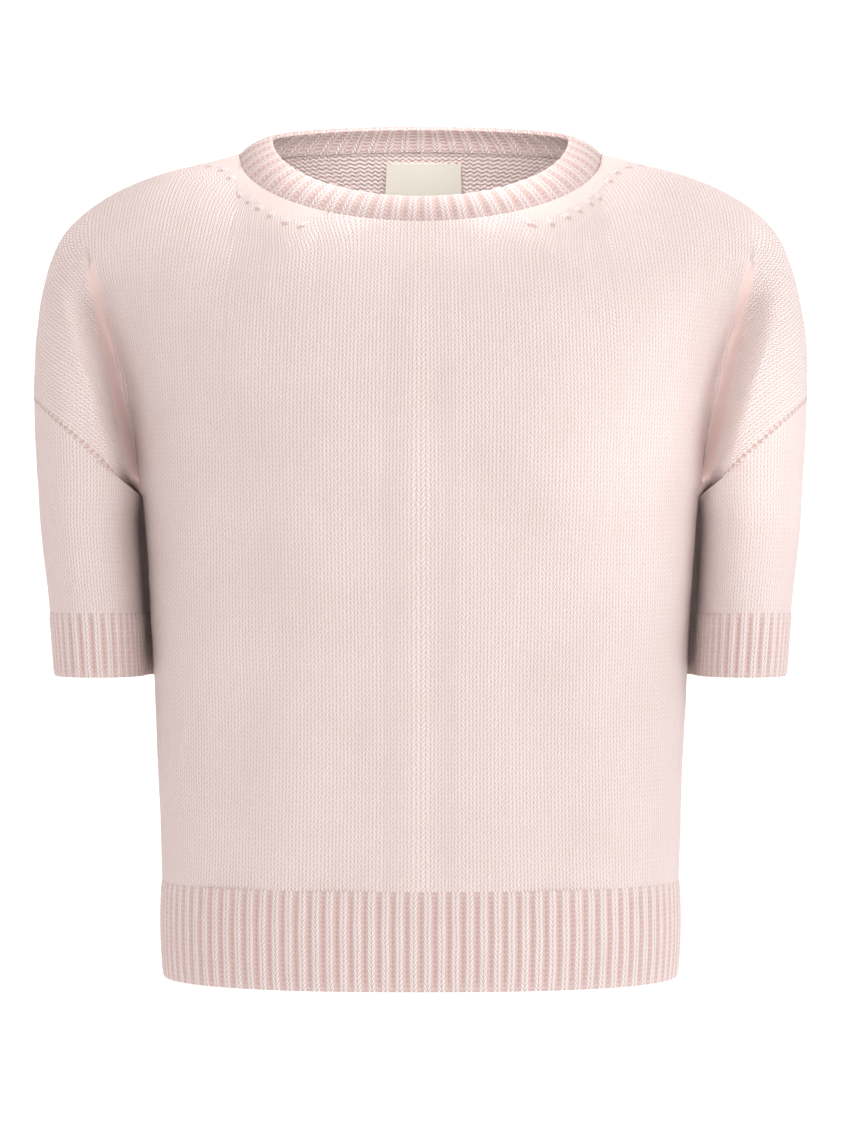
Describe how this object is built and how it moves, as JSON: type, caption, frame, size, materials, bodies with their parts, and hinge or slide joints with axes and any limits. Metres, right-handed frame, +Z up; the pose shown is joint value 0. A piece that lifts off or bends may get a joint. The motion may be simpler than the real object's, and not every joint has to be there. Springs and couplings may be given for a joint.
{
  "type": "short-sleeved knitted sweater",
  "caption": "Cropped crew-neck knitted sweater with short dropped sleeves and ribbed neck, cuffs and hem, hollow and filled out as worn.",
  "frame": {"origin": "midway between the two points where the sides of the neck rest on the wearer's shoulders", "axes": "+Z up, the front faces -Y, X across the shoulders with +X on the right of the front view"},
  "size_m": [0.4622, 0.2123, 0.5119],
  "materials": {
    "knit": "soft brushed stocking stitch, pale pink",
    "rib": "soft one-by-one rib, pale pink",
    "label": "plain cream satin weave"
  },
  "bodies": {
    "root": {"front": "knit", "back": "knit", "left_sleeve": "knit", "right_sleeve": "knit", "front_hem_rib": "rib", "back_hem_rib": "rib", "left_cuff_rib": "rib", "right_cuff_rib": "rib", "neckband": "rib", "label": "label"}
  },
  "joints": []
}
